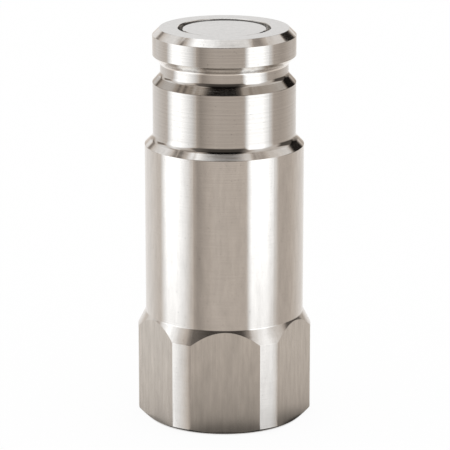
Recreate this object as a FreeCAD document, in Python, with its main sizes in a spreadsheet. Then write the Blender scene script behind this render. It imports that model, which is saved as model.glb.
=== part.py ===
"""Male half of a flush-face hydraulic quick coupler, 1/2 in size, standing on its port.

The body is turned from one bar: hexagon with a female pipe port, plain barrel and nose with
a latch groove. A flush-faced poppet closes the nose. It slides on a stem in a three-armed
guide, which a retaining ring holds in the bore behind the port thread.
Lengths are millimetres, the origin is the centre of the port face and +Z points to the nose.
"""
import FreeCAD, Part
import os
import Sketcher

# Driving dimensions: name, value, meaning
SIZES = (
    ("overall_length", 68.2, "port face to nose face"),
    ("body_dia", 27.3, "plain barrel"),
    ("step_height", 1.4, "from the barrel down to the nose, on the radius"),
    ("step_fillet", 1.5, "radius between the nose and the step"),
    ("nose_length", 18.7, "nose face to the corner of the step"),
    ("nose_chamfer", 1.2, "45 degree chamfer round the nose face"),
    ("groove_depth", 1.3, "latch groove, on the radius"),
    ("groove_from_face", 6.9, "nose face to the middle of the latch groove"),
    ("groove_floor_width", 2.0, "flat floor of the latch groove"),
    ("groove_fillet", 0.5, "corner radius of the groove floor"),
    ("corner_height", 1.35, "from the barrel up to the corners of the hexagon, on the radius"),
    ("flat_depth", 1.2, "from the corners of the hexagon down to its flats"),
    ("hex_height", 15.95, "port face to the top of the turned corners"),
    ("hex_cone_angle", 27.5, "cone above the hexagon, from the axis"),
    ("hex_fillet", 0.4, "radius between the barrel and the hexagon cone"),
    ("base_chamfer", 1.6, "chamfer of the hexagon at the port face, on the radius"),
    ("base_angle", 30.0, "same chamfer, from the port face"),
    ("throat_dia", 15.8, "bore that the poppet head closes"),
    ("throat_length", 5.6, "nose face to the valve seat"),
    ("mouth_chamfer", 0.1, "edge of the throat at the nose face"),
    ("seat_width", 1.0, "45 degree valve seat from the throat out to the chamber, on the radius"),
    ("guide_seat", 30.0, "port face to the shoulder that stops the guide"),
    ("guide_shoulder", 0.4, "same shoulder, from the chamber out to the port bore, on the radius"),
    ("clip_groove_depth", 0.5, "retaining ring groove, on the radius"),
    ("clip_groove_width", 1.1, "retaining ring groove"),
    ("port_countersink", 1.7, "45 degree countersink of the port, on the radius"),
    ("poppet_recess", 0.2, "poppet face below the nose face"),
    ("poppet_clearance", 0.05, "poppet in throat and chamber, on the radius"),
    ("poppet_chamfer", 0.1, "edge of the poppet face"),
    ("face_step", 0.7, "open gap round the poppet face, cut into its head, on the radius"),
    ("face_step_depth", 0.9, "same gap, along the axis"),
    ("seat_gap", 0.05, "poppet shoulder to valve seat, along the axis"),
    ("gland_depth", 1.5, "floor of the seal gland below the throat, on the radius"),
    ("gland_width", 3.2, "seal gland"),
    ("gland_from_face", 1.6, "poppet face to the seal gland"),
    ("seal_gap", 0.05, "seals to the throat, on the radius"),
    ("backup_width", 1.2, "back-up ring"),
    ("backup_slit", 0.2, "slanted cut that lets the back-up ring open"),
    ("wing_length", 7.0, "guide wings of the poppet with their shoulder"),
    ("flow_flat_depth", 2.15, "flow flats milled on the poppet, below its wings"),
    ("boss_length", 3.0, "spring spigots on the poppet and on the guide"),
    ("stem_dia", 6.0, "poppet stem"),
    ("stem_clearance", 0.05, "stem in the guide, on the radius"),
    ("stem_overhang", 0.6, "stem end past the guide"),
    ("stem_chamfer", 0.5, "edge of the stem end"),
    ("guide_height", 4.0, "rim of the guide"),
    ("guide_clearance", 0.05, "guide in its bore, on the radius"),
    ("guide_rim", 1.6, "wall of the guide rim"),
    ("guide_arm", 2.6, "width of one guide arm"),
    ("wire_dia", 1.3, "spring wire"),
    ("spring_dia", 11.4, "middle of the spring wire"),
    ("spring_turns", 4.0, "open turns between the two closed end coils"),
    ("coil_gap", 0.05, "between the windings of a closed end coil"),
    ("spring_play", 0.25, "spring to its spigots, on the radius"),
    ("clip_play", 0.1, "retaining ring in its groove, along the axis"),
    ("clip_fit", 0.05, "retaining ring to the floor of its groove"),
    ("clip_width", 2.1, "retaining ring at its back"),
    ("clip_taper", 0.35, "shift of the inner circle towards the gap"),
    ("clip_gap", 3.0, "between the two ends of the retaining ring"),
    ("clip_eye_dia", 3.8, "eye of the retaining ring"),
    ("clip_hole_dia", 1.6, "pliers hole"),
)

doc = FreeCAD.newDocument("coupler_nipple")
sheet = doc.addObject("Spreadsheet::Sheet", "Dims")
for row, (alias, size, meaning) in enumerate(SIZES, 1):
    sheet.set(f"A{row}", alias)
    sheet.set(f"B{row}", str(size))
    sheet.setAlias(f"B{row}", alias)
    sheet.set(f"C{row}", meaning)
doc.recompute()

# Heights and radii that follow from the driving dimensions
NOSE_FACE = "Dims.overall_length"
BODY_R = "(Dims.body_dia / 2)"
NOSE_R = f"({BODY_R} - Dims.step_height)"
GROOVE_R = f"({NOSE_R} - Dims.groove_depth)"
CORNER_R = f"({BODY_R} + Dims.corner_height)"
FLAT_R = f"({CORNER_R} - Dims.flat_depth)"
BASE_R = f"({CORNER_R} - Dims.base_chamfer)"
THROAT_R = "(Dims.throat_dia / 2)"
CHAMBER_R = f"({THROAT_R} + Dims.seat_width)"
BORE_R = f"({CHAMBER_R} + Dims.guide_shoulder)"
CLIP_R = f"({BORE_R} + Dims.clip_groove_depth)"
GROOVE_MID = "(Dims.overall_length - Dims.groove_from_face)"
STEP_TOP = "(Dims.overall_length - Dims.nose_length)"
STEP_BOTTOM = f"({STEP_TOP} - Dims.step_height)"
CONE_TOP = "(Dims.hex_height + Dims.corner_height / tan(Dims.hex_cone_angle))"
BASE_RISE = "Dims.base_chamfer * tan(Dims.base_angle)"
THROAT_END = "(Dims.overall_length - Dims.throat_length)"
SEAT_BASE = f"({THROAT_END} - Dims.seat_width)"
GUIDE_TOP = "Dims.guide_seat"
GUIDE_BOTTOM = "(Dims.guide_seat - Dims.guide_height)"
CLIP_BOTTOM = f"({GUIDE_BOTTOM} - Dims.clip_groove_width)"
HEAD_R = f"({THROAT_R} - Dims.poppet_clearance)"
WING_R = f"({CHAMBER_R} - Dims.poppet_clearance)"
FLOW_FLAT_R = f"({WING_R} - Dims.flow_flat_depth)"
POPPET_FACE = "(Dims.overall_length - Dims.poppet_recess)"
FACE_R = f"({HEAD_R} - Dims.face_step)"
FACE_BASE = f"({POPPET_FACE} - Dims.face_step_depth)"
GLAND_R = f"({THROAT_R} - Dims.gland_depth)"
GLAND_TOP = f"({POPPET_FACE} - Dims.gland_from_face)"
GLAND_BOTTOM = f"({GLAND_TOP} - Dims.gland_width)"
SHOULDER_TOP = f"({THROAT_END} + Dims.poppet_clearance - Dims.seat_gap)"
SHOULDER_BASE = f"({SHOULDER_TOP} - Dims.seat_width)"
WING_REAR = f"({SHOULDER_TOP} - Dims.wing_length)"
SPIGOT_R = "((Dims.spring_dia - Dims.wire_dia) / 2 - Dims.spring_play)"
STEM_R = "(Dims.stem_dia / 2)"
STEM_END = f"({GUIDE_BOTTOM} - Dims.stem_overhang)"
RIM_R = f"({BORE_R} - Dims.guide_clearance)"
WINDOW_R = f"({RIM_R} - Dims.guide_rim)"
SEAL_R = f"({THROAT_R} - Dims.seal_gap)"
SEAL_SECTION = f"({SEAL_R} - {GLAND_R})"
SPRING_LENGTH = f"({WING_REAR} - {GUIDE_TOP})"
CLIP_OUTER_R = f"({CLIP_R} - Dims.clip_fit)"
CLIP_INNER_R = f"({CLIP_OUTER_R} - Dims.clip_width + Dims.clip_taper)"
CLIP_THICKNESS = "(Dims.clip_groove_width - Dims.clip_play)"

# Flats and arms that repeat round the axis
HEX_FLATS = 6
FLOW_FLATS = 4
GUIDE_ARMS = 3

# Sides of the spring wire, and the radius of its corners that gives a round wire's area
WIRE_SIDES = 12
WIRE_CORNER_R = f"Dims.wire_dia / 2 * sqrt(2 * pi / ({WIRE_SIDES} * sin(360 / {WIRE_SIDES})))"
EDGE_MATCH = 1e-4


def number(expression):
    """Value of an expression in the sheet's dimensions."""
    return float(sheet.evalExpression(expression))


def new_body(label):
    body = doc.addObject("PartDesign::Body", label)
    body.Label = label
    return body


def new_sketch(body, role, name, height=None):
    """Empty sketch on one of the body's own planes, raised to a height along its normal."""
    sketch = body.newObject("Sketcher::SketchObject", name)
    plane = next(item for item in body.Origin.OriginFeatures if item.Role == role)
    sketch.AttachmentSupport = [(plane, "")]
    sketch.MapMode = "FlatFace"
    if height is not None:
        sketch.setExpression("AttachmentOffset.Base.z", height)
    return sketch


def bind(sketch, constraint, expression):
    index = sketch.addConstraint(constraint)
    sketch.setExpression(f"Constraints[{index}]", expression)


def pin(sketch, edge, point, across, along):
    """Hold a point of an edge at two coordinates given as expressions."""
    for kind, axis, expression in (("DistanceX", -2, across), ("DistanceY", -1, along)):
        if expression == "0":
            sketch.addConstraint(Sketcher.Constraint("PointOnObject", edge, point, axis))
        else:
            size = number(expression)
            bind(sketch, Sketcher.Constraint(kind, -1, 1, edge, point, size), expression)


def add_outline(sketch, corners):
    """Closed run of straight edges through corners given as pairs of expressions."""
    points = [FreeCAD.Vector(number(across), number(along), 0) for across, along in corners]
    first = sketch.GeometryCount
    count = len(points)
    for place in range(count):
        sketch.addGeometry(Part.LineSegment(points[place], points[(place + 1) % count]), False)
    for place in range(count):
        follower = first + (place + 1) % count
        sketch.addConstraint(Sketcher.Constraint("Coincident", first + place, 2, follower, 1))
    for place, (across, along) in enumerate(corners):
        pin(sketch, first + place, 1, across, along)


def add_circle(sketch, across, along, radius):
    centre = FreeCAD.Vector(number(across), number(along), 0)
    up = FreeCAD.Vector(0, 0, 1)
    edge = sketch.addGeometry(Part.Circle(centre, up, number(radius)), False)
    pin(sketch, edge, 3, across, along)
    bind(sketch, Sketcher.Constraint("Radius", edge, number(radius)), radius)


def add_bar(sketch, width, near, far):
    """Rectangle centred across the sketch's vertical axis, from near to far along it."""
    half = number(width) / 2
    low = number(near)
    high = number(far)
    corners = [FreeCAD.Vector(x, y, 0) for x, y in
               ((-half, low), (half, low), (half, high), (-half, high))]
    first = sketch.GeometryCount
    for place in range(4):
        sketch.addGeometry(Part.LineSegment(corners[place], corners[(place + 1) % 4]), False)
    for place in range(4):
        follower = first + (place + 1) % 4
        sketch.addConstraint(Sketcher.Constraint("Coincident", first + place, 2, follower, 1))
    sketch.addConstraint(Sketcher.Constraint("Vertical", first + 1))
    sketch.addConstraint(Sketcher.Constraint("Symmetric", first, 1, first, 2, -2))
    sketch.addConstraint(Sketcher.Constraint("Symmetric", first + 2, 1, first + 2, 2, -2))
    bind(sketch, Sketcher.Constraint("DistanceX", first, 1, first, 2, 2 * half), width)
    bind(sketch, Sketcher.Constraint("DistanceY", -1, 1, first, 1, low), near)
    bind(sketch, Sketcher.Constraint("DistanceY", -1, 1, first + 2, 1, high), far)


def turn(body, sketch, name):
    """Full turn of a half section about the part's axis."""
    feature = body.newObject("PartDesign::Revolution", name)
    feature.Profile = sketch
    feature.ReferenceAxis = (sketch, ["V_Axis"])
    feature.Angle = 360
    doc.recompute()
    return feature


def turned_body(label, corners):
    """Body made by turning one closed half section."""
    body = new_body(label)
    sketch = new_sketch(body, "XZ_Plane", label + "_section")
    add_outline(sketch, corners)
    turn(body, sketch, label + "_turning")
    return body


def pad(body, sketch, length, name):
    feature = body.newObject("PartDesign::Pad", name)
    feature.Profile = sketch
    feature.setExpression("Length", length)
    doc.recompute()
    return feature


def pocket_ahead(body, sketch, length, name):
    """Cut along the sketch's normal, and make sure that it takes material away."""
    before = body.Shape.Volume
    feature = body.newObject("PartDesign::Pocket", name)
    feature.Profile = sketch
    feature.Reversed = True
    feature.setExpression("Length", length)
    doc.recompute()
    if not feature.Shape.Volume < before:
        raise RuntimeError(name + " cuts nothing")
    return feature


def repeat(body, feature, sketch, count, name):
    """Copies of a feature, evenly spaced round the part's axis."""
    pattern = body.newObject("PartDesign::PolarPattern", name)
    pattern.Originals = [feature]
    pattern.Axis = (sketch, ["N_Axis"])
    pattern.Angle = 360
    pattern.Occurrences = count
    body.Tip = pattern
    doc.recompute()
    return pattern


def mirror(body, feature, sketch, name):
    """Second copy of a feature on the other side of its sketch's vertical axis."""
    pattern = body.newObject("PartDesign::Mirrored", name)
    pattern.Originals = [feature]
    pattern.MirrorPlane = (sketch, ["V_Axis"])
    body.Tip = pattern
    doc.recompute()
    return pattern


def round_ring(body, radius, height, fillet, name):
    """Fillet along the circular edge of a given radius at a given height."""
    base = body.Tip
    wanted = (number(radius), number(height))
    edges = []
    for place, edge in enumerate(base.Shape.Edges, 1):
        curve = edge.Curve
        if not isinstance(curve, Part.Circle):
            continue
        found = (curve.Radius, curve.Center.z)
        if all(abs(a - b) < EDGE_MATCH for a, b in zip(found, wanted)):
            edges.append(f"Edge{place}")
    feature = body.newObject("PartDesign::Fillet", name)
    feature.Base = (base, edges)
    feature.setExpression("Radius", fillet)
    doc.recompute()


def make_nipple_body():
    """Body: hexagon, barrel and nose outside; port, guide bore, chamber, seat and throat inside."""
    floor_low = f"({GROOVE_MID} - Dims.groove_floor_width / 2)"
    floor_high = f"({GROOVE_MID} + Dims.groove_floor_width / 2)"
    outside = [
        (BASE_R, "0"),
        (CORNER_R, BASE_RISE),
        (CORNER_R, "Dims.hex_height"),
        (BODY_R, CONE_TOP),
        (BODY_R, STEP_BOTTOM),
        (NOSE_R, STEP_TOP),
        (NOSE_R, f"{floor_low} - Dims.groove_depth"),
        (GROOVE_R, floor_low),
        (GROOVE_R, floor_high),
        (NOSE_R, f"{floor_high} + Dims.groove_depth"),
        (NOSE_R, f"{NOSE_FACE} - Dims.nose_chamfer"),
        (f"{NOSE_R} - Dims.nose_chamfer", NOSE_FACE),
    ]
    inside = [
        (f"{THROAT_R} + Dims.mouth_chamfer", NOSE_FACE),
        (THROAT_R, f"{NOSE_FACE} - Dims.mouth_chamfer"),
        (THROAT_R, THROAT_END),
        (CHAMBER_R, SEAT_BASE),
        (CHAMBER_R, GUIDE_TOP),
        (BORE_R, GUIDE_TOP),
        (BORE_R, GUIDE_BOTTOM),
        (CLIP_R, GUIDE_BOTTOM),
        (CLIP_R, CLIP_BOTTOM),
        (BORE_R, CLIP_BOTTOM),
        (BORE_R, "Dims.port_countersink"),
        (f"{BORE_R} + Dims.port_countersink", "0"),
    ]
    body = turned_body("nipple_body", outside + inside)
    round_ring(body, NOSE_R, STEP_TOP, "Dims.step_fillet", "step_radius")
    round_ring(body, BODY_R, CONE_TOP, "Dims.hex_fillet", "hexagon_radius")
    round_ring(body, GROOVE_R, floor_low, "Dims.groove_fillet", "groove_low_radius")
    round_ring(body, GROOVE_R, floor_high, "Dims.groove_fillet", "groove_high_radius")
    sketch = new_sketch(body, "XY_Plane", "hexagon_flat")
    add_bar(sketch, f"2 * {CORNER_R}", FLAT_R, f"2 * {CORNER_R}")
    flat = pocket_ahead(body, sketch, CONE_TOP, "hexagon_cut")
    repeat(body, flat, sketch, HEX_FLATS, "hexagon")
    return body


def make_poppet():
    """Flush-faced head with its seal gland, winged guide, spring spigot and stem."""
    body = turned_body("valve_poppet", [
        ("0", STEM_END),
        (f"{STEM_R} - Dims.stem_chamfer", STEM_END),
        (STEM_R, f"{STEM_END} + Dims.stem_chamfer"),
        (STEM_R, f"{WING_REAR} - Dims.boss_length"),
        (SPIGOT_R, f"{WING_REAR} - Dims.boss_length"),
        (SPIGOT_R, WING_REAR),
        (WING_R, WING_REAR),
        (WING_R, SHOULDER_BASE),
        (HEAD_R, SHOULDER_TOP),
        (HEAD_R, GLAND_BOTTOM),
        (GLAND_R, GLAND_BOTTOM),
        (GLAND_R, GLAND_TOP),
        (HEAD_R, GLAND_TOP),
        (HEAD_R, FACE_BASE),
        (FACE_R, FACE_BASE),
        (FACE_R, f"{POPPET_FACE} - Dims.poppet_chamfer"),
        (f"{FACE_R} - Dims.poppet_chamfer", POPPET_FACE),
        ("0", POPPET_FACE),
    ])
    sketch = new_sketch(body, "XY_Plane", "flow_flat", WING_REAR)
    add_bar(sketch, f"2 * {CHAMBER_R}", FLOW_FLAT_R, f"2 * {CHAMBER_R}")
    flat = pocket_ahead(body, sketch, "Dims.wing_length", "flow_cut")
    repeat(body, flat, sketch, FLOW_FLATS, "wings")
    return body


def make_o_ring():
    """Seal in the poppet's gland, behind the back-up ring."""
    body = new_body("poppet_o_ring")
    sketch = new_sketch(body, "XZ_Plane", "o_ring_section")
    middle = f"{GLAND_TOP} - Dims.backup_width - {SEAL_SECTION} / 2"
    add_circle(sketch, f"{SEAL_R} - {SEAL_SECTION} / 2", middle, f"{SEAL_SECTION} / 2")
    turn(body, sketch, "o_ring_turning")
    return body


def make_backup_ring():
    """Split ring in front of the seal, with a slanted cut on one side."""
    low = f"({GLAND_TOP} - Dims.backup_width)"
    body = turned_body("poppet_backup_ring", [
        (GLAND_R, low),
        (SEAL_R, low),
        (SEAL_R, GLAND_TOP),
        (GLAND_R, GLAND_TOP),
    ])
    sketch = new_sketch(body, "YZ_Plane", "slit_outline")
    add_outline(sketch, [
        ("Dims.backup_slit", low),
        ("2 * Dims.backup_slit", low),
        ("2 * Dims.backup_slit + Dims.backup_width", GLAND_TOP),
        ("Dims.backup_slit + Dims.backup_width", GLAND_TOP),
    ])
    pocket_ahead(body, sketch, THROAT_R, "slit")
    return body


def make_guide():
    """Stem bearing on three arms in a rim, with a spigot for the spring."""
    bore = f"{STEM_R} + Dims.stem_clearance"
    hub_top = f"{GUIDE_TOP} + Dims.boss_length"
    body = turned_body("valve_guide", [
        (bore, GUIDE_BOTTOM),
        (SPIGOT_R, GUIDE_BOTTOM),
        (SPIGOT_R, hub_top),
        (bore, hub_top),
    ])
    arm = new_sketch(body, "XY_Plane", "arm_outline", GUIDE_BOTTOM)
    add_bar(arm, "Dims.guide_arm", f"({STEM_R} + {SPIGOT_R}) / 2", f"({WINDOW_R} + {RIM_R}) / 2")
    repeat(body, pad(body, arm, "Dims.guide_height", "arm"), arm, GUIDE_ARMS, "arms")
    rim = new_sketch(body, "XZ_Plane", "rim_section")
    add_outline(rim, [
        (WINDOW_R, GUIDE_BOTTOM),
        (RIM_R, GUIDE_BOTTOM),
        (RIM_R, GUIDE_TOP),
        (WINDOW_R, GUIDE_TOP),
    ])
    turn(body, rim, "rim")
    return body


def add_coil(body, name, low, rise, turns, start):
    """Helix of the spring's wire from a height, turned about the axis to where it starts."""
    section = new_sketch(body, "XZ_Plane", name + "_section")
    corners = []
    for side in range(WIRE_SIDES):
        angle = 360 * (side + 0.5) / WIRE_SIDES
        across = f"Dims.spring_dia / 2 + {WIRE_CORNER_R} * cos({angle})"
        corners.append((across, f"{low} + {WIRE_CORNER_R} * sin({angle})"))
    add_outline(section, corners)
    section.AttachmentOffset.Rotation = FreeCAD.Rotation(FreeCAD.Vector(0, 1, 0), number(start))
    section.setExpression("AttachmentOffset.Rotation.Angle", start)
    coil = body.newObject("PartDesign::AdditiveHelix", name)
    coil.Profile = section
    coil.ReferenceAxis = (section, ["V_Axis"])
    coil.Mode = "height-turns-angle"
    coil.setExpression("Height", rise)
    coil.setExpression("Turns", turns)
    doc.recompute()


def make_spring():
    """Compression spring from the guide's arms to the poppet's wings, closed and ground."""
    body = new_body("valve_spring")
    closed = "(Dims.wire_dia + Dims.coil_gap)"
    open_rise = f"{SPRING_LENGTH} - 2 * {closed}"
    add_coil(body, "end_low", GUIDE_TOP, closed, "1", "0")
    add_coil(body, "open_turns", f"{GUIDE_TOP} + {closed}", open_rise, "Dims.spring_turns", "0")
    add_coil(body, "end_high", f"{WING_REAR} - {closed}", closed, "1", "360 * Dims.spring_turns")
    for name, height, upward in (("ground_low", GUIDE_TOP, False), ("ground_high", WING_REAR, True)):
        face = new_sketch(body, "XY_Plane", name + "_face", height)
        add_circle(face, "0", "0", "Dims.spring_dia")
        cut = body.newObject("PartDesign::Pocket", name)
        cut.Profile = face
        cut.Reversed = upward
        cut.setExpression("Length", "Dims.wire_dia")
        doc.recompute()
    return body


def make_retaining_ring():
    """Internal retaining ring, tapered to its two eyes, with its gap between two guide arms."""
    body = new_body("retaining_ring")
    low = f"{GUIDE_BOTTOM} - {CLIP_THICKNESS}"
    eye_r = "Dims.clip_eye_dia / 2"
    eye_across = f"(Dims.clip_gap / 2 + {eye_r})"
    eye_along = f"sqrt(({CLIP_OUTER_R} - {eye_r})^2 - {eye_across}^2)"
    ring = new_sketch(body, "XY_Plane", "ring_outline", low)
    add_circle(ring, "0", "0", CLIP_OUTER_R)
    add_circle(ring, "0", "Dims.clip_taper", CLIP_INNER_R)
    pad(body, ring, CLIP_THICKNESS, "ring")
    eye = new_sketch(body, "XY_Plane", "eye_outline", low)
    add_circle(eye, eye_across, eye_along, eye_r)
    mirror(body, pad(body, eye, CLIP_THICKNESS, "eye"), eye, "eyes")
    gap = new_sketch(body, "XY_Plane", "gap_outline", low)
    add_bar(gap, "Dims.clip_gap", STEM_R, f"2 * {CLIP_R}")
    pocket_ahead(body, gap, CLIP_THICKNESS, "gap")
    hole = new_sketch(body, "XY_Plane", "hole_outline", low)
    add_circle(hole, eye_across, eye_along, "Dims.clip_hole_dia / 2")
    mirror(body, pocket_ahead(body, hole, CLIP_THICKNESS, "hole"), hole, "holes")
    body.Placement.Rotation = FreeCAD.Rotation(FreeCAD.Vector(0, 0, 1), 180)
    return body


def write_parts(bodies):
    """Stop on any failed object or bad solid, then write one file for each piece."""
    doc.recompute()
    for item in doc.Objects:
        if "Invalid" in item.State or "Error" in item.State:
            raise RuntimeError(item.Label + " failed: " + ", ".join(item.State))
    for body in bodies:
        if body.Shape.isNull() or not body.Shape.isValid():
            raise RuntimeError(body.Label + " has a bad shape")
    os.makedirs("parts", exist_ok=True)
    for body in bodies:
        body.Shape.exportStep(f"parts/{body.Label}.step")


write_parts([
    make_nipple_body(),
    make_poppet(),
    make_o_ring(),
    make_backup_ring(),
    make_guide(),
    make_spring(),
    make_retaining_ring(),
])
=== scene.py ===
import math

import bpy
import numpy as np
from mathutils import Matrix, Vector


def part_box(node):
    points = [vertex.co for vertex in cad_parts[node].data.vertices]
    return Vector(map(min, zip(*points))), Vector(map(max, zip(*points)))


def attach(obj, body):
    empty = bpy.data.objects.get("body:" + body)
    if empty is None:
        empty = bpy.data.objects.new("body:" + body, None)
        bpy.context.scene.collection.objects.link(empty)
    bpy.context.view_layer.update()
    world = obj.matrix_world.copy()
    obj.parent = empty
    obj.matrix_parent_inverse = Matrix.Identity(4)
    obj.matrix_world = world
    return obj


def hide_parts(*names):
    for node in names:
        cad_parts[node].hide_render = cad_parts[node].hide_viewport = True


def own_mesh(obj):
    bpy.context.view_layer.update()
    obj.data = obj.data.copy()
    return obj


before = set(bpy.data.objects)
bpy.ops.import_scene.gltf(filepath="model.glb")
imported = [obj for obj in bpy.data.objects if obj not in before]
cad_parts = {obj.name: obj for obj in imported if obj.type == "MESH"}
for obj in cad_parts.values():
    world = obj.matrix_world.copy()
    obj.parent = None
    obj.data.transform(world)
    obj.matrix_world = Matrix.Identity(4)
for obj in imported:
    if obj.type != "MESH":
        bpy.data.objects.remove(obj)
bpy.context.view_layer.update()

MM = 0.001
FULL_TURN = 2 * math.pi

# Sizes read from the solids
body_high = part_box("nipple_body")[1]
LENGTH = body_high.z
CORNER_R = body_high.x
FLAT_R = body_high.y
spring_low, spring_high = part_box("valve_spring")

# Outside of the body
BASE_R = 13.4 * MM
BODY_R = 13.65 * MM
NOSE_R = 12.25 * MM
GROOVE_R = 10.95 * MM
HEX_SIDES = 6
HEX_HEIGHT = 15.95 * MM
HEX_FILLET = 0.4 * MM
CONE_TAN = math.tan(math.radians(27.5))
BASE_TAN = math.tan(math.radians(30))
STEP_TOP = LENGTH - 18.7 * MM
STEP_FILLET = 1.5 * MM
GROOVE_MID = LENGTH - 6.9 * MM
GROOVE_HALF = 1.0 * MM
GROOVE_FILLET = 0.5 * MM
NOSE_CHAMFER = 1.2 * MM
EDGE_BREAK = 0.1 * MM
FINE_BREAK = 0.05 * MM

# Lower flank of the groove, a little steeper than in the solid and rounder at its inner end
FLANK_DROP = 0.1 * MM
FLANK_RISE = 0.08 * MM
FLANK_TOP = GROOVE_MID - GROOVE_HALF + FLANK_RISE
FLANK_FILLET = 1.2 * MM

# Heights on the nose and in the groove where the smooth finish of the fillets ends
STEP_FILLET_END = STEP_TOP + 0.7 * MM
FLANK_FILLET_END = FLANK_TOP + 0.5 * MM

# Inside of the body
THROAT_R = 7.9 * MM
THROAT_END = LENGTH - 5.6 * MM
MOUTH_CHAMFER = 0.1 * MM
CHAMBER_R = 8.9 * MM
BORE_R = 9.3 * MM
GUIDE_SEAT = 30.0 * MM
GUIDE_FOOT = 26.0 * MM
CLIP_R = 9.8 * MM
CLIP_FOOT = 24.9 * MM
COUNTERSINK = 1.7 * MM

# Taper pipe thread of the port, 14 turns to the inch. The run-out starts half its length early.
THREAD_PITCH = 25.4 * MM / 14
THREAD_TAPER = 1 / 32
THREAD_ROOT_R = 10.55 * MM
THREAD_DEPTH = 1.3 * MM
THREAD_LENGTH = 15.5 * MM
THREAD_RUNOUT = 2.0 * MM
RUNOUT_EARLY = 0.5
THREAD_FLAT = 0.12
THREAD_ROW = 0.12 * MM

# Mesh of the body: columns on each flat and land, their distance from an edge, the steps of an arc,
# and the weight of large faces in the shading
FLAT_COLUMNS = 24
LAND_COLUMNS = 8
EDGE_ANGLE = math.radians(0.3)
ARC_STEPS = 6
LARGE_FACE_WEIGHT = 100

# Spring: its wire and coils, the steps of its mesh, and how smoothly the pitch changes, in turns
WIRE_R = 0.65 * MM
SPRING_R = 5.7 * MM
COIL_GAP = 0.05 * MM
OPEN_TURNS = 4
WIRE_STEPS = 72
WIRE_SIDES = 20
BLEND_TURNS = 0.3
BLEND_SAMPLES = 21

# Spans of a noise, which lies about 0.5, that a tint and a roughness follow
TINT_NOISE = (0.3, 0.7)
ROUGH_NOISE = (0.25, 0.75)

# Tint of steel: its widest change, the width and length of soft patches, and small dark specks,
# with the level of the noise where a speck starts and how soft and dark it is
TINT_SPAN = 0.1
PATCH_WIDTH = 0.9 * MM
PATCH_LENGTH = 4 * MM
SPECK_SIZE = 0.3 * MM
SPECK_LEVEL = 0.72
SPECK_EDGE = 0.04
SPECK_DARK = 0.25

# Turned steel: height that a step in radius counts for, so that faces and cones have rings too,
# streaks drawn out round the piece, as wide as two rings, with their share of the relief,
# and how far and to which side of the grain reflections are drawn out
RING_SLOPE = -0.73
STREAK_LENGTH = 6 * MM
STREAK_RINGS = 2
STREAK_RELIEF = 0.5
TURNED_STRETCH = 0.85
TURNED_ROTATION = 0.25

# Milled steel: repeats to the metre of the fine grain and of broad bands, both drawn out along the axis,
# the depth of the grain, and how far reflections are drawn out
GRAIN_SCALE = (9000, 9000, 120)
BAND_SCALE = (2200, 2200, 40)
GRAIN_DEPTH = 0.0006 * MM
MILLED_STRETCH = 0.6

# Other finishes: repeats of the clouds to one of the grain, and how far they change the tint
CLOUD_SCALE = 0.1
CLOUD_TINT = 0.12

# Turned finishes of the body: name, colour, roughness, width and depth of the rings in millimetres,
# and how far rings and patches change the tint
BODY_TURNED = {
    "barrel": ("turned_steel", (0.68, 0.67, 0.655), 0.16, 0.13, 0.0003, 0.03, 0.055),
    "chamfer": ("cut_steel", (0.68, 0.67, 0.655), 0.11, 0.13, 0.0002, 0.03, 0.055),
    "nose": ("ringed_steel", (0.59, 0.58, 0.565), 0.16, 0.2, 0.0006, 0.05, 0.015),
    "fillet": ("smooth_steel", (0.59, 0.58, 0.565), 0.06, 0.13, 0.0002, 0.05, 0.03),
    # roof: coloured much lighter than the rest of the steel, a painted light that brightens the groove's
    # roof
    "roof": ("roof_steel_painted_light", (0.95, 0.94, 0.92), 0.08, 0.13, 0.0002, 0.03, 0.03),
    # track: the groove's lower flank is coloured darker than the rest of the steel, a painted shade for the
    # shadow in the groove
    "track": ("flank_steel_painted_shade", (0.41, 0.388, 0.36), 0.1, 0.13, 0.0002, 0.05, 0.03),
    # face: the nose's end face is coloured darker than the barrel, a painted shade
    "face": ("face_steel_painted_shade", (0.52, 0.522, 0.519), 0.1, 0.1, 0.0002, 0.03, 0.06),
    "bore": ("bored_steel", (0.64, 0.63, 0.615), 0.24, 0.15, 0.0006, 0.03, 0.03),
}
GUIDE_TURNED = ("guide_steel", (0.62, 0.61, 0.595), 0.3, 0.15, 0.0012, 0.04, 0.03)

# Milled finish of the flats: name, colour, roughness, and how far bands and patches change the tint
FLAT_MILLED = ("milled_steel", (0.66, 0.65, 0.63), 0.22, 0.05, 0.075)

# Other finishes: name, colour, roughness, size and depth of the grain in millimetres, share of metal
SPRING_WIRE = ("spring_wire", (0.56, 0.555, 0.55), 0.28, 0.15, 0.002, 1.0)
RING_STEEL = ("phosphated_steel", (0.09, 0.09, 0.095), 0.45, 0.08, 0.004, 0.7)
SEAL_RUBBER = ("nitrile", (0.018, 0.018, 0.02), 0.42, 0.1, 0.003, 0.0)
SEAL_PLASTIC = ("fluoropolymer", (0.82, 0.81, 0.78), 0.38, 0.2, 0.003, 0.0)

# Camera of the photograph
VIEW_DISTANCE = 449.1 * MM
VIEW_HEIGHT = 154.9 * MM
VIEW_PITCH = math.radians(15.13)
VIEW_AZIMUTH = math.radians(-0.7)
VIEW_SHIFT = 0.115 * MM
VIEW_CLIP = (0.01, 10.0)
LENS_MM = 215.4
SENSOR_MM = 36.0

# Light tent that only reflections show. Azimuth is in degrees from the camera's side towards +X, and
# rise in degrees above the eye. A band is where it starts, is full, starts to fade and ends.
TENT_RADIUS = 340 * MM
TENT_EYE = 45 * MM
TENT_COLUMNS = 241
TENT_ROWS = 61

# Pale table below: light by azimuth, and the share of it by rise
TABLE_LIGHT = (
    (-180, 1.0), (-135, 0.9), (-108, 0.75), (-41, 0.4), (-33, 0.5), (-26, 0.59), (-15, 0.67),
    (31, 0.64), (84, 0.58), (101, 0.58), (140, 0.83), (180, 1.0),
)
TABLE_RISE = ((-90, 0.85), (-26, 0.9), (-21, 1.0), (90, 1.0))

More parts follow.
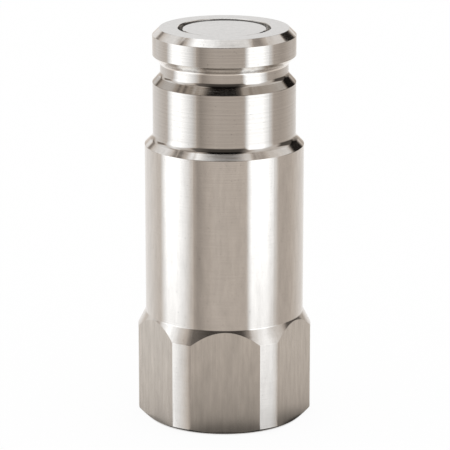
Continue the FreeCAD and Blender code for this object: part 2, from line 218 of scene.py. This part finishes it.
# White cards left and right: their bands, the rise over which their light grows, and their height in degrees
LEFT_CARD = (-104, -90, -73, -39)
RIGHT_CARD = (31, 39, 63, 84)
CARD_RISE = (-21, -16.5)
CARD_LIGHT = (1.2, 1.85)
CARD_TOP = (16, 20)

# Walls above the horizon: light by azimuth, less of it high up and in the dark front behind the camera
HORIZON = (-2, 10)
WALL_LIGHT = (
    (-180, 1.02), (-149, 0.95), (-146, 0.25), (-143, 0.25), (-140, 0.75), (-130, 0.95), (-118, 1.0),
    (-106, 0.85), (-92, 1.2), (-78, 0.82), (-66, 0.78), (-57, 0.64), (-51, 0.2), (-38, 0.14),
    (-24, 0.08), (24, 0.08), (29, 0.14), (52, 0.82), (62, 0.92), (90, 0.74), (110, 0.82), (127, 0.92),
    (132, 0.02), (149, 0.02), (157, 0.9), (180, 1.02),
)
WALL_TOP = (52, 58)
GAP_LIGHT = 0.45
FRONT_SIDES = (-112, -104, 30, 50)
FRONT_TOP = (38, 45)
FRONT_LIGHT = 0.2

# Darker seams between the sheets of the tent: bands of azimuth and rise, and the share of light that is left
SEAMS = (
    ((90, 100, 132, 138), (-6, 0, 22, 28), 0.14),
    ((38, 46, 74, 84), (-40, -30, -20, -17), 0.88),
    ((130, 142, 160, 178), (-9, -5, 3, 8), 0.5),
    ((-134, -128, -112, -104), (6, 10, 18, 23), 0.28),
    ((-178, -160, -146, -134), (-9, -5, 3, 8), 0.7),
)

# Soft glows high on the walls: bands of azimuth and rise, and their light
GLOWS = (
    ((-112, -108, -103, -99), (34, 37, 43, 46), 0.66),
    ((-103, -99, -92, -88), (36, 40, 47.5, 50), 0.66),
    ((-92, -88, -80, -76), (44, 47, 53, 56), 0.66),
    ((-80, -76, -54, -32), (46, 50, 62, 66), 0.66),
    ((44, 50, 62, 68), (46, 52, 65, 68), 0.75),
    ((62, 68, 80, 88), (44, 48, 57.5, 60), 0.75),
    ((114, 120, 131.5, 136.5), (33.5, 36, 46, 50), 0.9),
)

# Soft box overhead: each edge as offset over height above the eye, from dark to lit, the bow of its
# front edge, and its light at the left and at the right
BOX_FRONT = (-0.295, -0.222)
BOX_BACK = (1.2, 0.9)
BOX_LEFT = (-0.75, -0.48)
BOX_RIGHT = (0.51, 0.41)
BOX_BOW = -0.3
BOX_LIGHT = (1.62, 0.97)

# Tint of the tent's light by its level, warm where it is dim
WARM_TINT = (
    (0, (1.0, 0.86, 0.75)), (0.65, (1.0, 0.88, 0.775)), (1.0, (1.0, 0.98, 0.965)), (1.4, (1.0, 1.0, 1.0)),
)

# Pale floor: its colour with faint clouds, and the share of plain white that the camera sees in it,
# which starts outside the contact with the part
FLOOR_HALF = 2.0
FLOOR_COLOUR = (0.975, 0.975, 0.975)
FLOOR_CLOUDS = 40.0
FLOOR_TINT = 0.004
FLOOR_WHITE = 0.93
FLOOR_CONTACT = (13.3 * MM, 13.8 * MM)

# Shade that the part throws on the floor, as reflections show it: share of light by distance in
# millimetres, close to the part and farther out round a moved centre
SHADE_HEIGHT = 0.1 * MM
SHADE_RADIUS = 70 * MM
SHADE_CORE = ((0, 0.02), (13.5, 0.04), (14.4, 0.25), (15.2, 1.0), (70, 1.0))
SHADE_BROAD = (
    (0, 0.3), (10, 0.33), (12.2, 0.4), (15.6, 0.67), (18, 0.8), (22, 0.87), (28, 0.94), (48, 1.0), (70, 1.0),
)
SHADE_CENTRE = (2.5 * MM, -6 * MM)

# Least light of the core by azimuth on the left, and less light in front by distance
SHADE_LEFT = (-42, -52, 0, 0.7)
SHADE_FRONT = (-28, -22, 22, 28)
SHADE_FRONT_LIGHT = (20 * MM, 60 * MM, 0.82, 0.97)

# Light of the cards on the floor: band of azimuth to either side, the distances over which its far end
# leans outwards and by how many degrees, and its level on the left and on the right
CARD_GLOW = (24, 28, 40, 44)
CARD_GLOW_LEAN = (15 * MM, 28 * MM, 0, 18)
CARD_GLOW_LIGHT = (0.97, 0.78)


def round_corners(corners):
    """Rows of radius and height along an outline, with an arc at each corner that has a radius.

    A corner is (radius, height, arc radius); radius and height hold one value for each column.
    The third list says which corner each row belongs to.
    """
    rows_r, rows_z, owners = [], [], []
    count = len(corners)
    for place, (r, z, arc) in enumerate(corners):
        here = np.array([r, z])
        if not arc:
            rows_r.append(here[0])
            rows_z.append(here[1])
            owners.append(place)
            continue
        before = np.array(corners[place - 1][:2]) - here
        after = np.array(corners[(place + 1) % count][:2]) - here
        before /= np.linalg.norm(before, axis=0)
        after /= np.linalg.norm(after, axis=0)
        inside = np.arccos(np.clip((before * after).sum(axis=0), -1, 1))
        reach = arc / np.tan(inside / 2)
        middle = before + after
        middle /= np.linalg.norm(middle, axis=0)
        centre = here + middle * arc / np.sin(inside / 2)
        start = here + before * reach - centre
        end = here + after * reach - centre
        sweep = np.pi - inside
        for step in range(ARC_STEPS + 1):
            share = step / ARC_STEPS
            point = start * np.sin((1 - share) * sweep) + end * np.sin(share * sweep)
            point = centre + point / np.sin(sweep)
            rows_r.append(point[0])
            rows_z.append(point[1])
            owners.append(place)
    return rows_r, rows_z, owners


def hexagon_columns():
    """Angles of the columns, the radius of the wall there, and which columns lie on a flat."""
    side_angle = FULL_TURN / HEX_SIDES
    half_flat = math.acos(FLAT_R / CORNER_R)
    half_land = side_angle / 2 - half_flat
    angles, walls, flat = [], [], []
    for side in range(HEX_SIDES):
        centre = -math.pi / 2 + side * side_angle
        for lean in np.linspace(-half_flat + EDGE_ANGLE, half_flat - EDGE_ANGLE, FLAT_COLUMNS):
            angles.append(centre + lean)
            walls.append(FLAT_R / math.cos(lean))
            flat.append(True)
        for lean in np.linspace(-half_land + EDGE_ANGLE, half_land - EDGE_ANGLE, LAND_COLUMNS):
            angles.append(centre + side_angle / 2 + lean)
            walls.append(CORNER_R)
            flat.append(False)
    return np.array(angles), np.array(walls), flat


def thread_rows(angles):
    """Rows of the port from its bore down to the face: a tapered V thread that runs out upwards."""
    rows_r, rows_z = [], []
    for height in np.arange(THREAD_LENGTH + THREAD_RUNOUT, 0, -THREAD_ROW):
        turn = np.mod(height / THREAD_PITCH - angles / FULL_TURN, 1)
        flank = np.clip(np.abs(turn * 2 - 1) * (1 + 2 * THREAD_FLAT) - THREAD_FLAT, 0, 1)
        fade = min(1, max(0, (height - THREAD_LENGTH) / THREAD_RUNOUT + RUNOUT_EARLY))
        root = THREAD_ROOT_R - THREAD_TAPER * height - fade * THREAD_DEPTH
        radius = np.maximum(BORE_R, root - THREAD_DEPTH * flank)
        rows_r.append(np.maximum(radius, BORE_R + COUNTERSINK - height))
        rows_z.append(np.full_like(angles, height))
    return rows_r, rows_z


def mesh_object(name, points, faces, materials, smooth=True):
    mesh = bpy.data.meshes.new(name)
    mesh.from_pydata(points, [], faces)
    mesh.validate()
    for material in materials:
        mesh.materials.append(material)
    mesh.polygons.foreach_set("use_smooth", [smooth] * len(mesh.polygons))
    made = bpy.data.objects.new(name, mesh)
    bpy.context.scene.collection.objects.link(made)
    return made


def even_normals(piece):
    """Large faces set the shading at an edge, so that they stay flat beside a broken edge."""
    normals = piece.modifiers.new("even_normals", "WEIGHTED_NORMAL")
    normals.weight = LARGE_FACE_WEIGHT
    normals.keep_sharp = True


def body_outline(angles, walls):
    """Corners of the body, each with the finish of the stretch that it starts.

    The number that comes with them is the place in the list where the hexagon's wall starts.
    """
    all_round = np.ones_like(angles)

    def corner(r, z, arc):
        return r * all_round, z * all_round, arc

    step = BODY_R - NOSE_R
    groove = NOSE_R - GROOVE_R
    groove_foot = GROOVE_MID - GROOVE_HALF - groove - FLANK_DROP
    groove_roof = GROOVE_MID + GROOVE_HALF
    cone_top = HEX_HEIGHT + (CORNER_R - BODY_R) / CONE_TAN
    foot = [
        ("barrel", corner(BORE_R + COUNTERSINK, 0, 0)),
        ("barrel", corner(BASE_R, 0, FINE_BREAK)),
    ]
    outside = [
        ("barrel", (walls, (walls - BASE_R) * BASE_TAN, FINE_BREAK)),
        ("barrel", (walls, HEX_HEIGHT + (CORNER_R - walls) / CONE_TAN, FINE_BREAK)),
        ("barrel", corner(BODY_R, cone_top, HEX_FILLET)),
        ("chamfer", corner(BODY_R, STEP_TOP - step, EDGE_BREAK)),
        ("fillet", corner(NOSE_R, STEP_TOP, STEP_FILLET)),
        ("nose", corner(NOSE_R, STEP_FILLET_END, 0)),
        ("track", corner(NOSE_R, groove_foot, EDGE_BREAK)),
        ("fillet", corner(GROOVE_R, FLANK_TOP, FLANK_FILLET)),
        ("nose", corner(GROOVE_R, FLANK_FILLET_END, 0)),
        ("roof", corner(GROOVE_R, groove_roof, GROOVE_FILLET)),
        ("nose", corner(NOSE_R, groove_roof + groove, EDGE_BREAK)),
        ("chamfer", corner(NOSE_R, LENGTH - NOSE_CHAMFER, EDGE_BREAK)),
        ("face", corner(NOSE_R - NOSE_CHAMFER, LENGTH, EDGE_BREAK)),
        ("barrel", corner(THROAT_R + MOUTH_CHAMFER, LENGTH, FINE_BREAK)),
    ]
    inside = [
        ("bore", corner(THROAT_R, LENGTH - MOUTH_CHAMFER, FINE_BREAK)),
        ("bore", corner(THROAT_R, THROAT_END, FINE_BREAK)),
        ("bore", corner(CHAMBER_R, THROAT_END - (CHAMBER_R - THROAT_R), EDGE_BREAK)),
        ("bore", corner(CHAMBER_R, GUIDE_SEAT, FINE_BREAK)),
        ("bore", corner(BORE_R, GUIDE_SEAT, FINE_BREAK)),
        ("bore", corner(BORE_R, GUIDE_FOOT, FINE_BREAK)),
        ("bore", corner(CLIP_R, GUIDE_FOOT, FINE_BREAK)),
        ("bore", corner(CLIP_R, CLIP_FOOT, FINE_BREAK)),
        ("bore", corner(BORE_R, CLIP_FOOT, FINE_BREAK)),
        ("bore", corner(BORE_R, THREAD_LENGTH + THREAD_RUNOUT + THREAD_ROW, 0)),
    ]
    return foot + outside + inside, len(foot)


def make_body(finishes):
    """Body in one closed skin: outside, nose face, valve bores, thread and port face."""
    angles, walls, on_flat = hexagon_columns()
    outline, wall_foot = body_outline(angles, walls)
    rows_r, rows_z, owners = round_corners([place for finish, place in outline])
    port_r, port_z = thread_rows(angles)
    owners += [len(outline) - 1] * len(port_r)
    radius = np.array(rows_r + port_r)
    height = np.array(rows_z + port_z)
    rows, columns = radius.shape
    points = np.stack([radius * np.cos(angles), radius * np.sin(angles), height], axis=-1)
    names = list(finishes)
    faces, kinds = [], []
    for row in range(rows):
        above = (row + 1) % rows
        on_wall = owners[row] == wall_foot and owners[above] != wall_foot
        for column in range(columns):
            beside = (column + 1) % columns
            faces.append((row * columns + column, row * columns + beside,
                          above * columns + beside, above * columns + column))
            milled = on_wall and on_flat[column] and on_flat[beside]
            kinds.append(names.index("flat" if milled else outline[owners[row]][0]))
    piece = mesh_object("coupler_body", points.reshape(-1, 3).tolist(), faces, finishes.values())
    piece.data.polygons.foreach_set("material_index", kinds)
    even_normals(piece)
    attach(piece, "housing")
    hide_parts("nipple_body")


def wire_height(turns):
    """Height of the wire's middle: closed end coils, open turns, and a smooth change between."""
    closed = 2 * WIRE_R + COIL_GAP
    length = spring_high.z - spring_low.z
    open_pitch = (length - 2 * closed) / OPEN_TURNS
    knots = np.array([0, 1, 1 + OPEN_TURNS, 2 + OPEN_TURNS])
    levels = np.array([0, closed, closed + open_pitch * OPEN_TURNS, length])
    spread = np.linspace(-BLEND_TURNS, BLEND_TURNS, BLEND_SAMPLES)
    shifted = np.clip(turns[:, None] + spread[None, :], 0, knots[-1])
    smooth = np.interp(shifted, knots, levels).mean(axis=1)
    ends = np.minimum(turns, knots[-1] - turns) < BLEND_TURNS
    return spring_low.z + np.where(ends, np.interp(turns, knots, levels), smooth)


def make_spring(wire):
    """Round wire wound on a helix, with closed end coils that are ground flat."""
    turns = np.linspace(0, OPEN_TURNS + 2, (OPEN_TURNS + 2) * WIRE_STEPS + 1)
    around = np.linspace(0, FULL_TURN, WIRE_SIDES, endpoint=False)
    angle = turns * FULL_TURN
    reach = SPRING_R + WIRE_R * np.cos(around)
    height = wire_height(turns)[:, None] + WIRE_R * np.sin(around)[None, :]
    height = np.clip(height, spring_low.z, spring_high.z)
    points = np.stack([np.cos(angle)[:, None] * reach, np.sin(angle)[:, None] * reach, height], axis=-1)
    faces = []
    for step in range(len(turns) - 1):
        for side in range(WIRE_SIDES):
            beside = (side + 1) % WIRE_SIDES
            first = step * WIRE_SIDES
            faces.append((first + side, first + WIRE_SIDES + side,
                          first + WIRE_SIDES + beside, first + beside))
    last = (len(turns) - 1) * WIRE_SIDES
    faces.append(tuple(range(WIRE_SIDES)))
    faces.append(tuple(last + side for side in reversed(range(WIRE_SIDES))))
    piece = mesh_object("return_spring", points.reshape(-1, 3).tolist(), faces, [wire])
    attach(piece, "housing")
    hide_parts("valve_spring")
    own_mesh(piece)


def add(tree, kind, inputs=None, **settings):
    """New shader node; an input is a value or the output of another node."""
    made = tree.nodes.new("ShaderNode" + kind)
    for name, value in settings.items():
        setattr(made, name, value)
    for name, value in (inputs or {}).items():
        if isinstance(value, bpy.types.NodeSocket):
            tree.links.new(value, made.inputs[name])
        else:
            made.inputs[name].default_value = value
    return made


def math_node(tree, operation, first, second=0.0, third=0.0):
    return add(tree, "Math", {0: first, 1: second, 2: third}, operation=operation).outputs[0]


def map_range(tree, value, low, high, new_low, new_high):
    inputs = {"Value": value, "From Min": low, "From Max": high, "To Min": new_low, "To Max": new_high}
    return add(tree, "MapRange", inputs).outputs["Result"]


def mix_level(tree, share, first, second):
    return add(tree, "Mix", {"Factor": share, "A": first, "B": second}).outputs["Result"]


def object_place(tree):
    return add(tree, "TexCoord").outputs["Object"]


def length_of(tree, x, y):
    """Length of a flat vector."""
    flat = add(tree, "CombineXYZ", {"X": x, "Y": y})
    return add(tree, "VectorMath", {0: flat.outputs[0]}, operation="LENGTH").outputs["Value"]


def noise(tree, place, detail, scale=1.0):
    return add(tree, "TexNoise", {"Vector": place, "Scale": scale, "Detail": detail}).outputs[0]


def stretched_noise(tree, scale, detail):
    """Noise with its own number of repeats to the metre along each axis."""
    place = add(tree, "Mapping", {"Vector": object_place(tree), "Scale": scale})
    return noise(tree, place.outputs[0], detail)


def new_material(name):
    """Material with one Principled shader."""
    material = bpy.data.materials.new(name)
    material.use_nodes = True
    tree = material.node_tree
    return material, tree, tree.nodes["Principled BSDF"]


def bare_material(name):
    """Material without any node."""
    material = bpy.data.materials.new(name)
    material.use_nodes = True
    material.node_tree.nodes.clear()
    return material, material.node_tree


def tinted(tree, shader, colour, spread, pattern):
    """Base colour that a pattern from 0 to 1 makes darker and lighter by a share."""
    dark = tuple(channel * (1 - spread) for channel in colour) + (1.0,)
    light = tuple(min(1.0, channel * (1 + spread)) for channel in colour) + (1.0,)
    mix = add(tree, "Mix", {"Factor": pattern}, data_type="RGBA", clamp_factor=False)
    mix.inputs["A"].default_value = dark
    mix.inputs["B"].default_value = light
    tree.links.new(mix.outputs["Result"], shader.inputs["Base Color"])


def roughened(tree, shader, pattern, roughness, down, up):
    """Roughness that a noise makes lower and higher."""
    rough = map_range(tree, pattern, *ROUGH_NOISE, roughness - down, roughness + up)
    tree.links.new(rough, shader.inputs["Roughness"])


def grooved(tree, shader, height, depth):
    """Fine relief of the surface."""
    bump = add(tree, "Bump", {"Height": height, "Strength": 1.0, "Distance": depth})
    tree.links.new(bump.outputs[0], shader.inputs["Normal"])


def brushed(tree, shader, stretch, rotation):
    """Bare metal that draws reflections out to one side of its grain."""
    tangent = add(tree, "Tangent", direction_type="RADIAL", axis="Z")
    tree.links.new(tangent.outputs[0], shader.inputs["Tangent"])
    shader.inputs["Metallic"].default_value = 1.0
    shader.inputs["Anisotropic"].default_value = stretch
    shader.inputs["Anisotropic Rotation"].default_value = rotation


def turned_place(tree):
    """Coordinates, and the position along the outline of a turned piece, the same all round."""
    split = add(tree, "SeparateXYZ", {"Vector": object_place(tree)})
    radius = length_of(tree, split.outputs["X"], split.outputs["Y"])
    along = math_node(tree, "MULTIPLY_ADD", radius, RING_SLOPE, split.outputs["Z"])
    return split, along


def line_noise(tree, along, width):
    """Noise that changes along one direction only, in lines of about the given width."""
    inputs = {"W": math_node(tree, "MULTIPLY", along, 1 / width), "Scale": 1.0, "Detail": 2.0}
    return add(tree, "TexNoise", inputs, noise_dimensions="1D").outputs[0]


def streak_noise(tree, split, along, width):
    """Noise drawn out round the piece, in streaks of about the given width."""
    x = math_node(tree, "MULTIPLY", split.outputs["X"], 1 / STREAK_LENGTH)
    y = math_node(tree, "MULTIPLY", split.outputs["Y"], 1 / STREAK_LENGTH)
    z = math_node(tree, "MULTIPLY", along, 1 / width)
    place = add(tree, "CombineXYZ", {"X": x, "Y": y, "Z": z})
    return noise(tree, place.outputs[0], detail=3.0)


def specks(tree):
    """Sparse small spots, as 1 on a spot and 0 off it."""
    spots = noise(tree, object_place(tree), detail=1.0, scale=1 / SPECK_SIZE)
    return map_range(tree, spots, SPECK_LEVEL, SPECK_LEVEL + SPECK_EDGE, 0, 1)


def steel_tint(tree, lines, line_tint, patch_tint):
    """Pattern for the base colour from lines, soft patches and specks; 0.5 leaves the colour as it is."""
    patches = stretched_noise(tree, (1 / PATCH_WIDTH, 1 / PATCH_WIDTH, 1 / PATCH_LENGTH), detail=4.0)
    pattern = 0.5
    for source, strength in ((lines, line_tint), (patches, patch_tint)):
        reach = strength / TINT_SPAN / 2
        pattern = math_node(tree, "ADD", map_range(tree, source, *TINT_NOISE, -reach, reach), pattern)
    return math_node(tree, "MULTIPLY_ADD", specks(tree), -SPECK_DARK / TINT_SPAN / 2, pattern)


def turned_steel(name, colour, roughness, ring_width, ring_depth, ring_tint, patch_tint):
    """Stainless steel with the fine rings that a lathe tool leaves."""
    material, tree, shader = new_material(name)
    split, along = turned_place(tree)
    rings = line_noise(tree, along, ring_width * MM)
    streaks = streak_noise(tree, split, along, STREAK_RINGS * ring_width * MM)
    tinted(tree, shader, colour, TINT_SPAN, steel_tint(tree, rings, ring_tint, patch_tint))
    roughened(tree, shader, streaks, roughness, down=0.04, up=0.05)
    relief = math_node(tree, "MULTIPLY_ADD", streaks, STREAK_RELIEF, rings)
    grooved(tree, shader, relief, ring_depth * MM)
    brushed(tree, shader, TURNED_STRETCH, TURNED_ROTATION)
    return material


def milled_steel(name, colour, roughness, band_tint, patch_tint):
    """Stainless steel of the hexagon's flats, with grain that runs along the axis."""
    material, tree, shader = new_material(name)
    grain = stretched_noise(tree, GRAIN_SCALE, detail=3.0)
    bands = stretched_noise(tree, BAND_SCALE, detail=2.0)
    tinted(tree, shader, colour, TINT_SPAN, steel_tint(tree, bands, band_tint, patch_tint))
    roughened(tree, shader, grain, roughness, down=0.05, up=0.06)
    grooved(tree, shader, grain, GRAIN_DEPTH)
    brushed(tree, shader, MILLED_STRETCH, rotation=0.0)
    return material


def plain_finish(name, colour, roughness, grain, depth, metallic):
    """Moulded, drawn or coated surface with fine uneven grain."""
    material, tree, shader = new_material(name)
    place = object_place(tree)
    repeats = 1 / (grain * MM)
    speckle = noise(tree, place, detail=4.0, scale=repeats)
    clouds = noise(tree, place, detail=2.0, scale=CLOUD_SCALE * repeats)
    tinted(tree, shader, colour, CLOUD_TINT, clouds)
    roughened(tree, shader, speckle, roughness, down=0.06, up=0.06)
    grooved(tree, shader, speckle, depth * MM)
    shader.inputs["Metallic"].default_value = metallic
    return material


def dress(node, material):
    """Finish of a solid that keeps its own mesh."""
    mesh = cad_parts[node].data
    mesh.materials.clear()
    mesh.materials.append(material)


def light_ramp(tree, value, stops):
    """Light that follows a value through stops of (value, level or colour)."""
    low, high = stops[0][0], stops[-1][0]
    ramp = add(tree, "ValToRGB", {"Fac": map_range(tree, value, low, high, 0, 1)})
    elements = ramp.color_ramp.elements
    stops_at_first = len(elements)
    for number, (at, light) in enumerate(stops):
        place = (at - low) / (high - low)
        if number < stops_at_first:
            element = elements[number]
            element.position = place
        else:
            element = elements.new(place)
        colour = light if isinstance(light, tuple) else (light, light, light)
        element.color = colour + (1.0,)
    return ramp.outputs[0]


def band(tree, value, start, full, last, end):
    """Share that rises from 0 to 1 between start and full, and falls back between last and end."""
    rising = map_range(tree, value, start, full, 0, 1)
    return math_node(tree, "MULTIPLY", rising, map_range(tree, value, end, last, 0, 1))


def place_round_axis(tree):
    """Azimuth in degrees from the camera's side, distance from the axis, and the three coordinates."""
    split = add(tree, "SeparateXYZ", {"Vector": object_place(tree)})
    across, away, height = split.outputs
    toward = math_node(tree, "MULTIPLY", away, -1.0)
    turn = math_node(tree, "DEGREES", math_node(tree, "ARCTAN2", across, toward))
    return turn, length_of(tree, across, away), across, away, height


def table_and_walls(tree, turn, rise):
    """Pale table with two white cards standing on it, and walls that are dark in front."""
    table = light_ramp(tree, turn, TABLE_LIGHT)
    table = math_node(tree, "MULTIPLY", table, light_ramp(tree, rise, TABLE_RISE))
    card_light = map_range(tree, rise, *CARD_RISE, *CARD_LIGHT)
    lift = 0.0
    for card, top in zip((LEFT_CARD, RIGHT_CARD), CARD_TOP):
        share = band(tree, turn, *card)
        table = mix_level(tree, share, table, card_light)
        lift = math_node(tree, "MULTIPLY_ADD", share, top, lift)
    wall = light_ramp(tree, turn, WALL_LIGHT)
    wall = math_node(tree, "MULTIPLY", wall, map_range(tree, rise, *WALL_TOP, 1.0, GAP_LIGHT))
    high_front = map_range(tree, rise, *FRONT_TOP, 1.0, FRONT_LIGHT)
    front = mix_level(tree, band(tree, turn, *FRONT_SIDES), 1.0, high_front)
    wall = math_node(tree, "MULTIPLY", wall, front)
    lowered = math_node(tree, "SUBTRACT", rise, lift)
    return mix_level(tree, map_range(tree, lowered, *HORIZON, 0, 1), table, wall)


def soft_box(tree, level, across, away, above):
    """Light with the soft box overhead laid over it."""
    box_across = math_node(tree, "DIVIDE", across, above)
    box_away = math_node(tree, "DIVIDE", away, above)
    bow = math_node(tree, "MULTIPLY", math_node(tree, "MULTIPLY", box_across, box_across), BOX_BOW)
    bowed_away = math_node(tree, "ADD", box_away, bow)
    in_box = map_range(tree, above, 0, TENT_EYE, 0, 1)
    edges = (
        (bowed_away, BOX_FRONT), (box_away, BOX_BACK), (box_across, BOX_LEFT), (box_across, BOX_RIGHT),
    )
    for place, edge in edges:
        in_box = math_node(tree, "MULTIPLY", in_box, map_range(tree, place, *edge, 0, 1))
    box = map_range(tree, box_across, BOX_LEFT[1], BOX_RIGHT[1], *BOX_LIGHT)
    return mix_level(tree, in_box, level, box)


def tent_light():
    """Light of the tent: table, cards and walls with seams and glows, and the soft box overhead."""
    material, tree = bare_material("tent_light")
    turn, reach, across, away, height = place_round_axis(tree)
    above = math_node(tree, "SUBTRACT", height, TENT_EYE)
    rise = math_node(tree, "DEGREES", math_node(tree, "ARCTAN2", above, reach))
    level = table_and_walls(tree, turn, rise)
    for side, heights, light in SEAMS:
        seam = math_node(tree, "MULTIPLY", band(tree, turn, *side), band(tree, rise, *heights))
        level = math_node(tree, "MULTIPLY", level, map_range(tree, seam, 0, 1, 1, light))
    for side, heights, light in GLOWS:
        glow = math_node(tree, "MULTIPLY", band(tree, turn, *side), band(tree, rise, *heights))
        level = mix_level(tree, glow, level, light)
    level = soft_box(tree, level, across, away, above)
    emission = add(tree, "Emission", {"Color": light_ramp(tree, level, WARM_TINT), "Strength": level})
    add(tree, "OutputMaterial", {"Surface": emission.outputs[0]})
    return material


def card_glow(tree, turn, reach):
    """Light that the cards throw on the floor to either side of the front."""
    start, full, last, end = CARD_GLOW
    side = math_node(tree, "ABSOLUTE", turn)
    leant = math_node(tree, "SUBTRACT", side, map_range(tree, reach, *CARD_GLOW_LEAN))
    lit = map_range(tree, side, start, full, 0, 1)
    lit = math_node(tree, "MULTIPLY", lit, map_range(tree, leant, end, last, 0, 1))
    return math_node(tree, "MULTIPLY", lit, map_range(tree, turn, -start, start, *CARD_GLOW_LIGHT))


def floor_shade():
    """Less light close to the part, apart from the two sides where the cards stand."""
    material, tree = bare_material("floor_shade")
    turn, reach, across, away = place_round_axis(tree)[:4]
    core = light_ramp(tree, math_node(tree, "DIVIDE", reach, MM), SHADE_CORE)
    core = math_node(tree, "MAXIMUM", core, map_range(tree, turn, *SHADE_LEFT))
    x, y = (math_node(tree, "SUBTRACT", place, middle)
            for place, middle in zip((across, away), SHADE_CENTRE))
    share = light_ramp(tree, math_node(tree, "DIVIDE", length_of(tree, x, y), MM), SHADE_BROAD)
    deeper = map_range(tree, reach, *SHADE_FRONT_LIGHT)
    front = mix_level(tree, band(tree, turn, *SHADE_FRONT), 1.0, deeper)
    share = math_node(tree, "MULTIPLY", share, front)
    share = math_node(tree, "MAXIMUM", share, card_glow(tree, turn, reach))
    share = math_node(tree, "MULTIPLY", core, share)
    shade = add(tree, "CombineColor", {0: share, 1: share, 2: share})
    clear = add(tree, "BsdfTransparent", {"Color": shade.outputs[0]})
    add(tree, "OutputMaterial", {"Surface": clear.outputs[0]})
    return material


def only_reflected(thing):
    """Part of the studio that only reflections show."""
    thing.visible_camera = False
    thing.visible_diffuse = False
    thing.visible_transmission = False
    thing.visible_shadow = False


def rings_about_axis(name, path, material):
    """Mesh turned about the axis along a path of (radius, height)."""
    turns = np.linspace(-math.pi, math.pi, TENT_COLUMNS)
    columns = len(turns)
    points, faces = [], []
    for r, z in path:
        points.extend((r * math.sin(a), -r * math.cos(a), z) for a in turns)
    for row in range(len(path) - 1):
        for column in range(columns - 1):
            first = row * columns + column
            faces.append((first, first + 1, first + columns + 1, first + columns))
    return mesh_object(name, points, faces, [material])


def make_tent():
    """Round tent about the part, and the shade on the floor."""
    rises = np.linspace(-math.pi / 2, math.pi / 2, TENT_ROWS)
    dome = [(TENT_RADIUS * math.cos(rise), TENT_EYE + TENT_RADIUS * math.sin(rise)) for rise in rises]
    only_reflected(rings_about_axis("light_tent", dome, tent_light()))
    disc = [(0.0, SHADE_HEIGHT), (SHADE_RADIUS, SHADE_HEIGHT)]
    only_reflected(rings_about_axis("floor_shade", disc, floor_shade()))


def floor_finish():
    """Pale paper that the camera sees nearly white, with the part's shadow left in it."""
    material, tree, shader = new_material("pale_paper")
    place = object_place(tree)
    tinted(tree, shader, FLOOR_COLOUR, FLOOR_TINT, noise(tree, place, detail=3.0, scale=FLOOR_CLOUDS))
    shader.inputs["Roughness"].default_value = 1.0
    shader.inputs["Specular IOR Level"].default_value = 0.0
    seen = add(tree, "LightPath").outputs["Is Camera Ray"]
    white = add(tree, "Emission", {"Color": (1.0, 1.0, 1.0, 1.0), "Strength": 1.0})
    away = add(tree, "VectorMath", {0: place}, operation="LENGTH").outputs["Value"]
    share = math_node(tree, "MULTIPLY", seen, map_range(tree, away, *FLOOR_CONTACT, 0, FLOOR_WHITE))
    mix = add(tree, "MixShader", {0: share, 1: shader.outputs[0], 2: white.outputs[0]})
    tree.links.new(mix.outputs[0], tree.nodes["Material Output"].inputs["Surface"])
    return material


def make_floor():
    """Flat floor, which reflections leave to the tent."""
    half = FLOOR_HALF
    points = [(-half, -half, 0), (half, -half, 0), (half, half, 0), (-half, half, 0)]
    floor = mesh_object("floor", points, [(0, 1, 2, 3)], [floor_finish()], smooth=False)
    floor.visible_glossy = False


def light_scene():
    """Even white light from all sides."""
    world = bpy.data.worlds.new("studio")
    bpy.context.scene.world = world
    world.use_nodes = True
    background = world.node_tree.nodes["Background"]
    background.inputs["Color"].default_value = (1.0, 1.0, 1.0, 1.0)
    background.inputs["Strength"].default_value = 1.0
    bpy.context.scene.view_settings.view_transform = "Standard"


def place_camera():
    """Camera that sees the part as the photograph does."""
    lens = bpy.data.cameras.new("photo_camera")
    lens.lens = LENS_MM
    lens.sensor_width = SENSOR_MM
    lens.clip_start, lens.clip_end = VIEW_CLIP
    camera = bpy.data.objects.new("photo_camera", lens)
    bpy.context.scene.collection.objects.link(camera)
    orbit = Matrix.Rotation(VIEW_AZIMUTH, 4, "Z")
    tilt = Matrix.Rotation(math.pi / 2 - VIEW_PITCH, 4, "X")
    place = Matrix.Translation(Vector((VIEW_SHIFT, -VIEW_DISTANCE, VIEW_HEIGHT)))
    camera.matrix_world = orbit @ place @ tilt
    bpy.context.scene.camera = camera


body_finishes = {finish: turned_steel(*looks) for finish, looks in BODY_TURNED.items()}
body_finishes["flat"] = milled_steel(*FLAT_MILLED)
make_body(body_finishes)
make_spring(plain_finish(*SPRING_WIRE))
# The poppet takes the end face's darker colour, a painted shade
dress("valve_poppet", body_finishes["face"])
dress("valve_guide", turned_steel(*GUIDE_TURNED))
dress("retaining_ring", plain_finish(*RING_STEEL))
dress("poppet_o_ring", plain_finish(*SEAL_RUBBER))
dress("poppet_backup_ring", plain_finish(*SEAL_PLASTIC))
light_scene()
make_floor()
make_tent()
place_camera()
